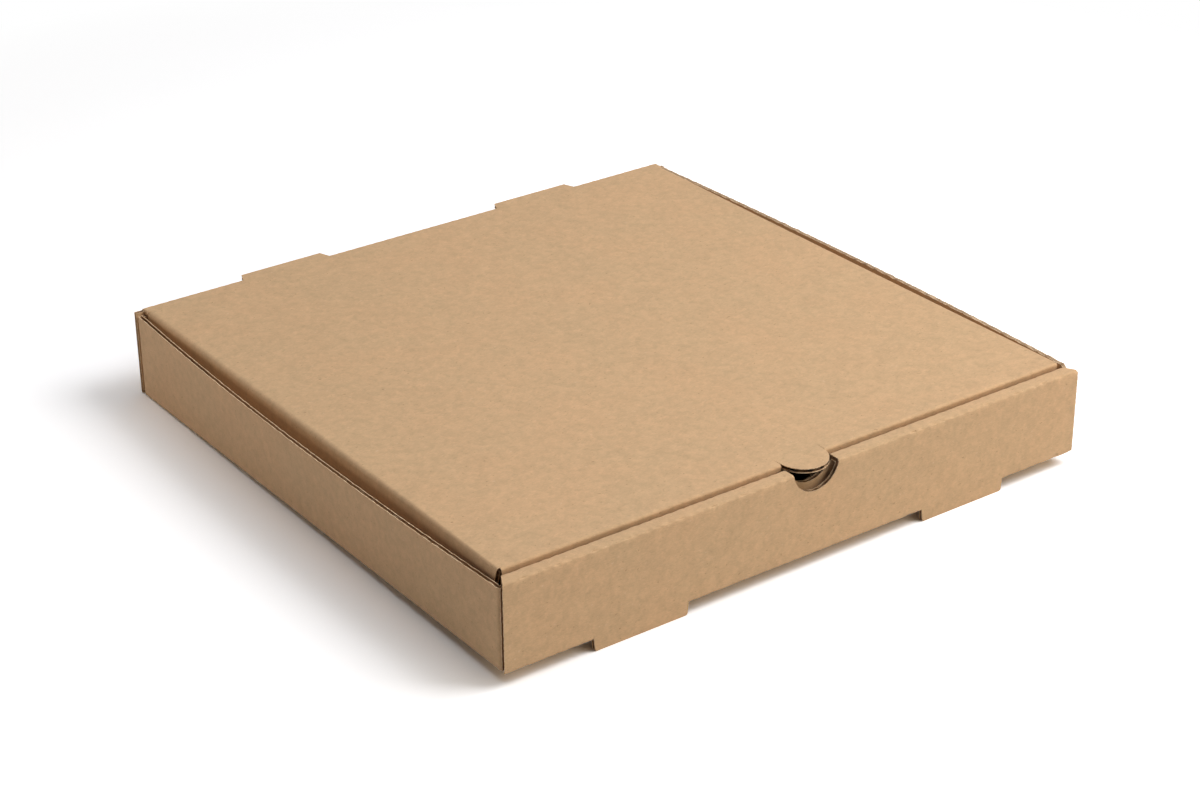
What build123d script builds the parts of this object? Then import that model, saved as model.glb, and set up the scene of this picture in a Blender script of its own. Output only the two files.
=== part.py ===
from build123d import *
import os

# Pizza box of corrugated board, folded from one sheet and shut, in millimetres.
# X runs along the front panel, Y from the front panel to the rear one, Z up.
# The origin is below the middle of the box, level with the undersides of the front feet.

# Board
board = 2.2  # thickness of the corrugated board
crease = 0.3  # inner radius of a folded crease
wall_round = 1.3  # outer radius of most creases
lid_round = 2.8  # outer radius of the creases along the lid's sides
leaf_gap = 0.25  # air between two leaves that lie against each other
lap = 1.0  # how far one leaf runs into the next where they are one piece

# Tray
width = 330.0  # over the cut ends of the front and rear panels
depth = 326.0  # from the front panel's face to the rear panel's face
wall_height = 43.8  # base's underside to the top of the front strip
left_height_front = 40.4  # base's underside to the cut top of the left wall, at its front end
right_height_front = 43.6
side_height_rear = 43.8  # both walls at their rear ends
side_bow = 4.5  # how far a side wall's top stands out at half its length
strip_taper = 4.0  # how far the strip's ends come in towards the inner wall
ear_length = 52.0  # corner ear, from the side wall's face to its tip
ear_stub = 4.0  # straight piece of side wall beside each ear

# Feet, cut out of the base and left hanging from the front panel
foot_height = 6.0
foot_width = 51.0
foot_spacing = 187.2  # centre to centre
foot_slant = 0.7  # each side, over the foot's height
foot_round = 1.2  # lower corners
lock_reach = 1.5  # how far a lock tab passes the base's underside
lock_play = 1.0  # each side of a lock tab in its slot

# Lid
lid_rise = 1.8  # lid's top above the front strip
lid_inset = 4.5  # lid's side folds, in from the side walls' faces
lid_setback = 8.6  # lid's front fold, behind the front panel's face
flap_depth = 38.0  # lid's top to the lower edge of its flaps
flap_splay = 1.2  # how far the side flaps' lower edges stand out
flap_taper = 10.0  # slanted ends of the side flaps
flap_clear = 1.2  # side flaps' rear ends, ahead of the rear ears
flap_round = 6.0  # lower corners of all flaps
tuck_lean = 1.2  # how far the tuck flap's lower edge leans back
tuck_taper = 4.0  # slanted ends of the tuck flap

# Rear tabs, cut out of the rear wall and left flat with the lid
tab_reach = 5.3  # beyond the rear panel's face
tab_width = 51.0
tab_spacing = 156.0  # centre to centre
tab_slant = 2.3  # each side, over the tab's reach
tab_round = 0.8  # outer corners
kerf = 0.4  # gap that the die leaves round a tab or the tongue
hinge_gap = 0.3  # lid's rear fold above the rear wall

# Thumb opening
notch_x = 3.0  # its middle, right of the box's middle
tongue_x = 2.5
notch_radius = 13.1
notch_rise = 1.6  # centre of the notch above the front strip
inner_notch_rise = 2.5  # the inner wall's notch above the outer one
tongue_radius = 12.4

# What follows from those sizes
half = width / 2
fold = board + crease  # how far a crease reaches along either of its leaves
strip_depth = 3 * board + 2 * leaf_gap
tongue_setback = lid_setback + crease + board / 2
front = -(depth + tab_reach - (tongue_radius - tongue_setback)) / 2
rear = front + depth
strip_rear = front + strip_depth
base_bottom = foot_height
base_middle = base_bottom + board / 2
leaf_bottom = base_bottom + fold  # lowest point of what stands on the base
wall_top = base_bottom + wall_height
left_front_top = base_bottom + left_height_front
right_front_top = base_bottom + right_height_front
side_rear_top = base_bottom + side_height_rear
front_ear_top = wall_top - board - leaf_gap
lid_top = wall_top + lid_rise
rear_ear_top = lid_top - board - 2 * leaf_gap
lid_middle = lid_top - board / 2
lid_half = half - lid_inset
lid_front = front + lid_setback
flap_bottom = lid_top - flap_depth
flap_rear = rear - 2 * board - leaf_gap - flap_clear
hinge_y = rear - board / 2
hinge_z = lid_middle
rear_top = hinge_z - board / 2 - hinge_gap
slot_depth = foot_height + fold
notch_z = wall_top + notch_rise
foot_middles = (-foot_spacing / 2, foot_spacing / 2)
tab_middles = (-tab_spacing / 2, tab_spacing / 2)


def ribbon(*middles, outside=wall_round):
    # Section of folded board, through points at the middle of its thickness.
    # Its creases are tight inside and rounder outside, and all turn the same way.
    points = [Vector(*point) for point in middles]
    ways = [(after - before).normalized() for before, after in zip(points, points[1:])]
    across = [way.rotate(Axis.Z, 90) for way in ways]
    mitres = [(one + other) / (1 + one.dot(other)) for one, other in zip(across, across[1:])]
    offsets = [across[0], *mitres, across[-1]]
    inward = 1 if ways[0].cross(ways[1]).Z > 0 else -1
    inner, outer = [
        [point + offset * side * board / 2 for point, offset in zip(points, offsets)]
        for side in (inward, -inward)
    ]
    return make_face([
        FilletPolyline(*inner, radius=crease), FilletPolyline(*outer, radius=outside),
        Line(inner[0], outer[0]), Line(inner[-1], outer[-1]),
    ])


def run_along_x(section, reach):
    # A section drawn in Y and Z, carried to reach on both sides of the middle.
    start = Plane((-reach, 0, 0), x_dir=(0, 1, 0), z_dir=(1, 0, 0))
    return extrude(start * section, 2 * reach, dir=(1, 0, 0))


def run_along_y(section, start, end):
    # A section drawn in X and Z, carried from start to end.
    upright = Plane((0, start, 0), x_dir=(1, 0, 0), z_dir=(0, -1, 0))
    return extrude(upright * section, end - start, dir=(0, 1, 0))


def run_up(section, start, end):
    # A plan drawn in X and Y, carried from start to end.
    return extrude(Pos(0, 0, start) * section, end - start, dir=(0, 0, 1))


def slab(low, high):
    size = Vector(*high) - Vector(*low)
    return Pos(*((Vector(*low) + Vector(*high)) / 2)) * Box(*size)


def blade(wide, narrow, length, rounding):
    # Trapezium from a wide root at the origin to a narrow end with round corners.
    outline = Polygon(
        (-wide / 2, 0), (wide / 2, 0), (narrow / 2, -length), (-narrow / 2, -length), align=None
    )
    ends = outline.vertices().sort_by(Axis.Y)[:2]
    return fillet(ends, rounding)


def front_roll():
    # Outer wall, top strip and inner wall, rolled over in one run from the base.
    section = ribbon(
        (front + fold + lap, base_middle),
        (front + board / 2, base_middle),
        (front + board / 2, wall_top - board / 2),
        (strip_rear - board / 2, wall_top - board / 2),
        (strip_rear - board / 2, leaf_bottom),
    )
    roll = run_along_x(section, half)
    beyond = half + lap
    end = Polygon(
        (half, front), (beyond, front), (beyond, strip_rear + lap),
        (half - strip_taper, strip_rear + lap), (half - strip_taper, strip_rear), align=None
    )
    slant = run_up(end, wall_top - board, wall_top + lap)
    inner_end = slab(
        (half - strip_taper, front + board + leaf_gap, base_bottom + board),
        (beyond, strip_rear + lap, wall_top),
    )
    trim = slant + inner_end
    return roll - trim - mirror(trim, Plane.YZ)


def notch_cut():
    # Round finger hole through the outer wall and strip, and the higher one of the inner wall.
    def drill(height, start, end):
        return run_along_y(Pos(notch_x, height) * Circle(notch_radius), start, end)

    outer = drill(notch_z, front - lap, front + board + leaf_gap)
    through = drill(notch_z, front - lap, strip_rear + lap)
    strip_level = slab((-half, front - lap, wall_top - fold), (half, strip_rear + lap, lid_top))
    inner = drill(notch_z + inner_notch_rise, front, strip_rear + lap)
    return outer + (through & strip_level) + inner


def foot(middle):
    root = leaf_bottom + lap
    hanging = blade(foot_width, foot_width - 2 * foot_slant, foot_height, foot_round)
    above = Pos(0, root - base_bottom) * Rectangle(
        foot_width, root - base_bottom, align=(Align.CENTER, Align.MAX)
    )
    return run_along_y(Pos(middle, base_bottom) * (hanging + above), front, front + board)


def foot_slot(middle):
    # What the foot leaves open in the base and its front crease.
    return slab(
        (middle - foot_width / 2, front - lap, base_bottom - lap),
        (middle + foot_width / 2, front + slot_depth, leaf_bottom),
    )


def lock_tab(middle):
    length = leaf_bottom + lap - (base_bottom - lock_reach)
    root = foot_width - 2 * lock_play
    outline = blade(root, root - 2 * foot_slant, length, foot_round)
    return run_along_y(Pos(middle, leaf_bottom + lap) * outline, strip_rear - board, strip_rear)


def wall_plan(bow):
    # Plan of a side wall between its ears, its middle standing out by bow.
    start = front + board + leaf_gap + fold + ear_stub
    end = rear - board - leaf_gap - fold - ear_stub

    def run(x):
        if bow == 0:
            return Line((x, start), (x, end))
        return ThreePointArc((x, start), (x + bow, (start + end) / 2), (x, end))

    inside = half - board
    ends = [Line((inside, y), (half, y)) for y in (start, end)]
    return make_face([run(half), run(inside), *ends])


def ear(y, toward, top):
    # Corner ear at y, lower than the wall, with its round crease and a stub of the wall.
    middle = y + toward * board / 2
    section = ribbon(
        (half - board / 2, y + toward * (fold + ear_stub)),
        (half - board / 2, middle),
        (half - ear_length, middle),
        outside=fold,
    )
    near, far = sorted((y - toward * lap, y + toward * fold))
    spare = slab((half - ear_length - lap, near, top), (half - fold, far, lid_top))
    return run_up(section, leaf_bottom, side_rear_top) - spare


def side_wall(front_top):
    # Right-hand wall, its crease with the base and its two ears.
    # Its cut top slopes from front_top to the rear and stays below the strip at the front corner.
    front_ear_y = front + board + leaf_gap
    rear_ear_y = rear - board - leaf_gap
    low = leaf_bottom + lap
    section = ribbon(
        (half - fold - lap, base_middle), (half - board / 2, base_middle), (half - board / 2, low)
    )
    crease_run = run_along_y(section, front_ear_y + fold, rear_ear_y - fold)
    plans = [Pos(0, 0, low) * wall_plan(0), Pos(0, 0, side_rear_top) * wall_plan(side_bow)]
    wall = crease_run + loft(plans, ruled=True)
    wall += ear(front_ear_y, 1, front_ear_top) + ear(rear_ear_y, -1, rear_ear_top)
    corner_top = min(front_top, front_ear_top)
    above = Polygon(
        (front, corner_top), (strip_rear, corner_top), (strip_rear + fold, front_top),
        (rear, side_rear_top), (rear, lid_top), (front, lid_top), align=None
    )
    return wall - run_along_x(above, width)


def tab_outline(grow):
    # A rear tab from the hinge line outwards, larger all round by grow.
    length = tab_reach + board / 2
    return blade(tab_width + 2 * grow, tab_width + 2 * (grow - tab_slant), length + grow, tab_round)


def rear_wall():
    section = ribbon(
        (rear - fold - lap, base_middle), (rear - board / 2, base_middle), (rear - board / 2, rear_top)
    )
    wall = run_along_x(section, half)
    for middle in tab_middles:
        hole = Pos(middle, hinge_z) * tab_outline(kerf)
        wall -= run_along_y(hole, rear - board - lap, rear + lap)
    for side in (-1, 1):
        inner, outer = sorted((side * (lid_half + hinge_gap), side * half))
        wall += slab((inner, rear - board, rear_top - lap), (outer, rear, hinge_z))
    return wall


def tray():
    base = slab(
        (fold - half, front + fold, base_bottom), (half - fold, rear - fold, base_bottom + board)
    )
    box = base + front_roll() + rear_wall()
    box += side_wall(right_front_top) + mirror(side_wall(left_front_top), Plane.YZ)
    for middle in foot_middles:
        box = box - foot_slot(middle) + foot(middle) + lock_tab(middle)
    return box - notch_cut()


def flap_outline(start, end, taper):
    # Side view of a flap hung between start and end, its ends slanted and its corners round.
    drop = lid_top - flap_bottom
    outline = blade(end - start, end - start - 2 * taper, drop, flap_round)
    return Pos((start + end) / 2, lid_top) * outline


def lid_side_flap():
    section = ribbon(
        (lid_half - fold - lap, lid_middle),
        (lid_half - board / 2, lid_middle),
        (lid_half - board / 2 + flap_splay, flap_bottom),
        outside=lid_round,
    )
    start = lid_front + fold
    outline = flap_outline(start, flap_rear, flap_taper)
    # Above the rear ear the crease goes on alone, as far as the hinge.
    outline += Pos(flap_rear - lap, lid_top) * Rectangle(
        hinge_y - flap_rear + lap, board, align=(Align.MIN, Align.MAX)
    )
    return run_along_y(section, start, hinge_y) & run_along_x(outline, half)


def lid_tuck_flap():
    section = ribbon(
        (lid_front + fold + lap, lid_middle),
        (lid_front + board / 2, lid_middle),
        (lid_front + board / 2 + tuck_lean, flap_bottom),
    )
    reach = lid_half - fold
    strip = run_along_x(section, reach)
    outline = flap_outline(-reach, reach, tuck_taper)
    return strip & run_along_y(outline, lid_front - lap, lid_front + flap_depth)


def tongue_cut():
    # What the tongue leaves open in the front crease and the tuck flap.
    hole = Pos(tongue_x, lid_middle) * Circle(tongue_radius + kerf)
    low = run_along_y(hole, lid_front - lap, lid_front + fold)
    below = run_along_y(hole, lid_front - lap, lid_front + flap_depth)
    under_plate = slab(
        (-half, lid_front - lap, flap_bottom), (half, lid_front + flap_depth, lid_top - fold)
    )
    return low + (below & under_plate)


def lid():
    flat = slab(
        (fold - lid_half, lid_front + fold, lid_top - board), (lid_half - fold, hinge_y, lid_top)
    )
    cover = Rectangle(2 * lid_half, flap_depth, align=(Align.CENTER, Align.MAX))
    cover = fillet(cover.vertices().sort_by(Axis.Y)[-2:], lid_round)
    rounded_end = run_along_x(Pos(hinge_y, hinge_z) * Circle(board / 2), lid_half)
    rounded_end &= run_along_y(Pos(0, lid_top) * cover, hinge_y - board, rear)
    flap = lid_side_flap()
    panel = flat + rounded_end + flap + mirror(flap, Plane.YZ)
    panel += lid_tuck_flap() - tongue_cut()
    tongue = Pos(tongue_x, front + tongue_setback) * Circle(tongue_radius)
    panel += run_up(tongue, lid_top - board, lid_top)
    for middle in tab_middles:
        tab = Pos(middle, hinge_y) * Rot(0, 0, 180) * tab_outline(0)
        panel += run_up(tab, lid_top - board, lid_top)
    return panel


os.makedirs("parts", exist_ok=True)
for name, piece in (("tray", tray()), ("lid", lid())):
    export_step(piece, f"parts/{name}.step")
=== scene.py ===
import bpy
import numpy as np
from mathutils import Matrix, Vector


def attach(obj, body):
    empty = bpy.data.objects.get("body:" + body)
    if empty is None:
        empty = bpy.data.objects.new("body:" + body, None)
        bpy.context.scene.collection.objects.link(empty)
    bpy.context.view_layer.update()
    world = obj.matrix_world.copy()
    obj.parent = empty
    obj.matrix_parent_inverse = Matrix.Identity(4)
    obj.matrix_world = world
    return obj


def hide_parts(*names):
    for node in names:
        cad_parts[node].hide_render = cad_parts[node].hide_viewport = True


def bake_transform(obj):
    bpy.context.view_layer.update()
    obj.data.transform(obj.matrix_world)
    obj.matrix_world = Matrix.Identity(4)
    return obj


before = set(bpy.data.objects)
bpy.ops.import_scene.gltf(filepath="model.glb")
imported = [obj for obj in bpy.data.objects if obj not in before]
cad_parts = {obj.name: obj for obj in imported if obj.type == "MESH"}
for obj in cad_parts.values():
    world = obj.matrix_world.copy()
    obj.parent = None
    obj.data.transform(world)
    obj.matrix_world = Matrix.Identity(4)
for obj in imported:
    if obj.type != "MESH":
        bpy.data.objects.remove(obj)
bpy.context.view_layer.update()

print("frame loaded")

mm = 0.001

# The board and where its panels lie, in millimetres, in the frame of the solids.
sheet = {
    "board": 2.2,
    "liner": 0.36,       # thickness of each face paper
    "medium": 0.22,      # thickness of the fluted paper
    "crushedRoom": 0.088,  # between a crushed fluting and each face paper
    "flute": 5.8,        # length of one wave
    "fluteDrift": (0.35, 60, 4),  # noise of the waves' places: size, length and seed
    "halfWidth": 165.0,
    "front": -164.45,
    "rear": 161.55,
    "baseBottom": 6.0,
    "wallFoot": 8.7,     # the walls are straight from here up
    "wallTop": 49.8,
    "stripDepth": 7.1,
    "stripTaper": 4.0,
    "roundOut": 1.3,     # outside of a crease
    "roundIn": 0.3,      # inside of a crease
    "leafGap": 0.25,     # between two leaves that lie side by side
    "lidTop": 51.6,
    "lidHalf": 160.5,
    "lidSeam": 157.5,    # the lid's flat panel ends here on both sides, and its side folds begin
    "lidFront": -155.85,
    "flapBottom": 13.6,
    "flapRear": 155.7,
    "creaseFoot": 46.5,  # the hinge's crease takes over from the rear wall here
    "creaseEnd": 156.0,  # and from the lid here
}
half = sheet["halfWidth"]
front = sheet["front"]
rear = sheet["rear"]
board = sheet["board"]
wallFoot = sheet["wallFoot"]
creaseFoot = sheet["creaseFoot"]
creaseEnd = sheet["creaseEnd"]
baseMiddle = sheet["baseBottom"] + board / 2
stripRear = front + sheet["stripDepth"]
hingeY = rear - board / 2
hingeZ = sheet["lidTop"] - board / 2

feet = {"middles": (-93.6, 93.6), "half": 25.5, "slant": 0.7, "round": 1.2, "slotEnd": 8.5}
lockTabs = {"half": 24.5, "bottom": 4.5, "round": 1.0}
rearTabs = {"middles": (-78.0, 78.0), "half": 25.5, "slant": 2.3, "reach": 5.3, "round": 0.8, "kerf": 0.4}
notch = {"x": 3.0, "z": 51.4, "radius": 13.1, "innerRise": 2.5, "edge": 12.77}
tongue = {"x": 2.5, "y": front + 10.0, "radius": 12.4, "kerf": 0.4}

# Grids along a straight edge: columns in each wave, and how far the two columns of a cut are from it.
columnsPerFlute = 7
hair = 0.03

# A crease's dent goes in along both axes by this share of its depth.
diagonal = 0.7


# Smooth noise along a line: five sines with seeded lengths and phases, added and scaled to about the size.
def wander(t, size, length, seed):
    draw = np.random.default_rng(seed)
    lengths = length * draw.uniform(0.55, 1.9, 5)
    phases = draw.uniform(0, 2 * np.pi, 5)
    waves = np.sin(2 * np.pi * np.asarray(t)[..., None] / lengths + phases)
    return size * (waves.sum(-1) / 2.4)


# Height of the fluted paper in the board, from 0 at the inner face to 1 at the outer one: a sine of the
# distance across the flutes, kept clear of both face papers. The waves are a little uneven.
def fluteHeight(across, phase=0.0):
    room = 0.5 - (sheet["liner"] + sheet["medium"] / 2) / board
    drift = wander(across, *sheet["fluteDrift"])
    return 0.5 + room * np.sin(2 * np.pi * across / sheet["flute"] + phase + drift)


# Depth of a crease's dents between the flutes, from 0 to about 1: the size of a half-wave sine, made
# uneven along the crease by noises of the waves' places, of their depth and of the whole.
def scallops(x, base, drift, uneven, extra):
    waves = np.abs(np.sin(np.pi * x / sheet["flute"] + wander(x, *drift)))
    return np.clip(waves * (base + wander(x, *uneven)) + wander(x, *extra), 0, 1.4)


# How near each row lies to a bend: a bell curve of the rows from the bend's middle row.
def nearBend(row, mark, width):
    return np.exp(-((row - (mark[0] + mark[1]) / 2) / width) ** 2)


# A creased path at an offset to the left of its nodes. Each node moves along its mitre by the offset.
# A bend becomes an arc of the given radius, tangent to both runs, and the runs get evenly spaced points.
# Returns the points and, for each node, its first and last row.
def offsetPath(nodes, bends, between, offset, radius, arcRows=7):
    nodes = np.array(nodes, float)
    ways = np.diff(nodes, axis=0)
    ways /= np.linalg.norm(ways, axis=1)[:, None]
    lefts = np.stack([-ways[:, 1], ways[:, 0]], 1)
    mitres = np.concatenate([
        lefts[:1],
        (lefts[:-1] + lefts[1:]) / (1 + (lefts[:-1] * lefts[1:]).sum(1))[:, None],
        lefts[-1:],
    ])
    corners = nodes + mitres * offset
    parts, marks, row = [], [], 0
    for k, corner in enumerate(corners):
        if k in bends:
            before, after = ways[k - 1], ways[k]
            turn = np.arctan2(before[0] * after[1] - before[1] * after[0], before @ after)
            inward = np.sign(turn) * lefts[k - 1] * radius
            centre = corner - before * radius * np.tan(abs(turn) / 2) + inward
            angles = np.linspace(0, abs(turn), arcRows)[:, None]
            here = centre - inward * np.cos(angles) + before * radius * np.sin(angles)
        else:
            here = corner[None]
        if parts and between[k - 1]:
            steps = np.linspace(0, 1, between[k - 1] + 2)[1:-1, None]
            run = parts[-1][-1] * (1 - steps) + here[0] * steps
            parts.append(run)
            row += len(run)
        marks.append((row, row + len(here) - 1))
        parts.append(here)
        row += len(here)
    return np.concatenate(parts), marks


# Inner and outer face of a creased board as two paths with the same rows. outSide is 1 where the outer
# face lies left of the path.
def boardPath(nodes, bends, between, outSide, roundOut=None, arcRows=7):
    roundOut = roundOut or sheet["roundOut"]
    outer, marks = offsetPath(nodes, bends, between, outSide * board / 2, roundOut, arcRows)
    inner, marks = offsetPath(nodes, bends, between, -outSide * board / 2, sheet["roundIn"], arcRows)
    return inner, outer, marks


# First and second coordinate of the points between two paths: a mix of both, 0 on the inner path and 1 on
# the outer one.
def betweenPaths(inner, outer, height):
    return (inner[:, k:k + 1] * (1 - height) + outer[:, k:k + 1] * height for k in (0, 1))


# Closed shell between two grids of points: quads on both, and a rim wherever a kept cell meets a left out
# one. Returns points, quads and a mask of the rim quads. The outer grid's quads face away from the inner.
def shellBetween(outer, inner, keep):
    rows, columns = keep.shape
    index = np.arange((rows + 1) * (columns + 1)).reshape(rows + 1, columns + 1)
    below = index.size
    face = np.stack([index[:-1, :-1], index[1:, :-1], index[1:, 1:], index[:-1, 1:]], -1)[keep]
    back = face[:, ::-1] + below
    framed = np.pad(keep, 1)
    acrossRows = framed[1:, 1:-1].astype(int) - framed[:-1, 1:-1]
    acrossColumns = framed[1:-1, 1:].astype(int) - framed[1:-1, :-1]
    rims = []
    for sign in (1, -1):
        i, j = np.nonzero(acrossRows == sign)
        a, b = (index[i, j], index[i, j + 1]) if sign > 0 else (index[i, j + 1], index[i, j])
        rims.append(np.stack([a, b, b + below, a + below], -1))
        i, j = np.nonzero(acrossColumns == sign)
        a, b = (index[i + 1, j], index[i, j]) if sign > 0 else (index[i, j], index[i + 1, j])
        rims.append(np.stack([a, b, b + below, a + below], -1))
    points = np.concatenate([outer.reshape(-1, 3), inner.reshape(-1, 3)])
    quads = np.concatenate([face, back, *rims])
    isRim = np.arange(len(quads)) >= len(face) + len(back)
    a, b, c = (points[face[:, k]] for k in (0, 1, 2))
    facing = (np.cross(b - a, c - a) * (points[face[:, 0]] - points[back[:, 3]])).sum()
    if facing < 0:
        quads = quads[:, ::-1]
    used, compact = np.unique(quads, return_inverse=True)
    return points[used], compact.reshape(-1, 4), isRim


# Puts shells into one mesh. Material 0 is the paper's face, 1 its cut rims.
def addPiece(name, shells, body, materials):
    starts = np.cumsum([0] + [len(shell[0]) for shell in shells])
    points = np.concatenate([shell[0] for shell in shells])
    quads = np.concatenate([shell[1] + start for shell, start in zip(shells, starts)])
    rims = np.concatenate([shell[2] for shell in shells])
    mesh = bpy.data.meshes.new(name)
    mesh.vertices.add(len(points))
    mesh.vertices.foreach_set("co", (points * mm).astype(np.float32).ravel())
    mesh.loops.add(quads.size)
    mesh.loops.foreach_set("vertex_index", quads.ravel().astype(np.int32))
    mesh.polygons.add(len(quads))
    mesh.polygons.foreach_set("loop_start", (np.arange(len(quads)) * 4).astype(np.int32))
    mesh.polygons.foreach_set("material_index", rims.astype(np.int32))
    mesh.polygons.foreach_set("use_smooth", ~rims)
    mesh.update(calc_edges=True)
    # The edges round every rim are sharp, so that a face keeps its own shading up to its cut.
    edgeOfLoop = np.empty(quads.size, np.int32)
    mesh.loops.foreach_get("edge_index", edgeOfLoop)
    sharp = np.zeros(len(mesh.edges), bool)
    sharp[edgeOfLoop.reshape(-1, 4)[rims]] = True
    mesh.attributes.new("sharp_edge", "BOOLEAN", "EDGE").data.foreach_set("value", sharp)
    for material in materials:
        mesh.materials.append(material)
    piece = bpy.data.objects.new(name, mesh)
    bpy.context.scene.collection.objects.link(piece)
    if body:
        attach(piece, body)
    return piece


# The three papers of a board as grids: place(height) gives the points at a height in the board, which may
# be one number or one value for each point. Crushed is 1 where the fluting is pressed flat and fills the
# board between its face papers.
def boardShells(place, flutes, keep, crushed=0.0):
    face = sheet["liner"] / board
    thick = sheet["medium"] / board / 2
    flutes = flutes + (0.5 - flutes) * crushed
    thick = thick + (0.5 - sheet["crushedRoom"] / board - face - thick) * crushed
    return {
        "outer": shellBetween(place(1.0), place(1 - face), keep),
        "inner": shellBetween(place(face), place(0.0), keep),
        "fluting": shellBetween(place(flutes + thick), place(flutes - thick), keep),
    }


# Columns along a straight edge: evenly spaced for the flutes, with more where cuts begin or bend.
def columnsFor(reach, extra):
    even = np.arange(-reach, reach + 0.01, sheet["flute"] / columnsPerFlute)
    return np.unique(np.round(np.concatenate([even, [reach], *extra]), 3))


# The places at given distances to both sides of some middles.
def beside(middles, steps):
    return np.array([m + s * np.asarray(steps) for m in middles for s in (-1, 1)]).ravel()


# Both columns of each cut, a hair to its left and right.
def cutColumns(places):
    return np.concatenate([places - hair, places + hair])


# Columns of a round cut, closer together towards its ends: the sine of even angles.
def arcColumns(middle, reach, count):
    return middle + reach * np.sin(np.linspace(-np.pi / 2, np.pi / 2, count))


# Distance to the nearest of some middles.
def distanceTo(middles, x):
    return np.min([np.abs(x - m) for m in middles], 0)


# Pulls the ends of a row in to its own limit: beyond the fixed part, distance is scaled to end at the limit.
def pullIn(x, limit, reach, fixed):
    beyond = np.clip(np.abs(x) - fixed, 0, None) / (reach - fixed)
    return np.sign(x) * (np.minimum(np.abs(x), fixed) + beyond * (limit - fixed))


# Round corner of a flap: how far its side comes in at a distance from the flap's end.
def cornerInset(fromEnd, radius):
    left = np.clip(radius - fromEnd, 0, radius)
    return radius - np.sqrt(radius ** 2 - left ** 2)


# Height of a round arc's half chord at a distance from its middle, 0 outside it.
def arcRise(radius, distance):
    return np.sqrt(np.clip(radius ** 2 - distance ** 2, 0, None))


# Cells whose two columns are both in a mask, and cells in which the mask changes.
def inside(mask):
    return (mask[1:] & mask[:-1])[None]


def border(mask):
    return (mask[1:] != mask[:-1])[None]


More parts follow.
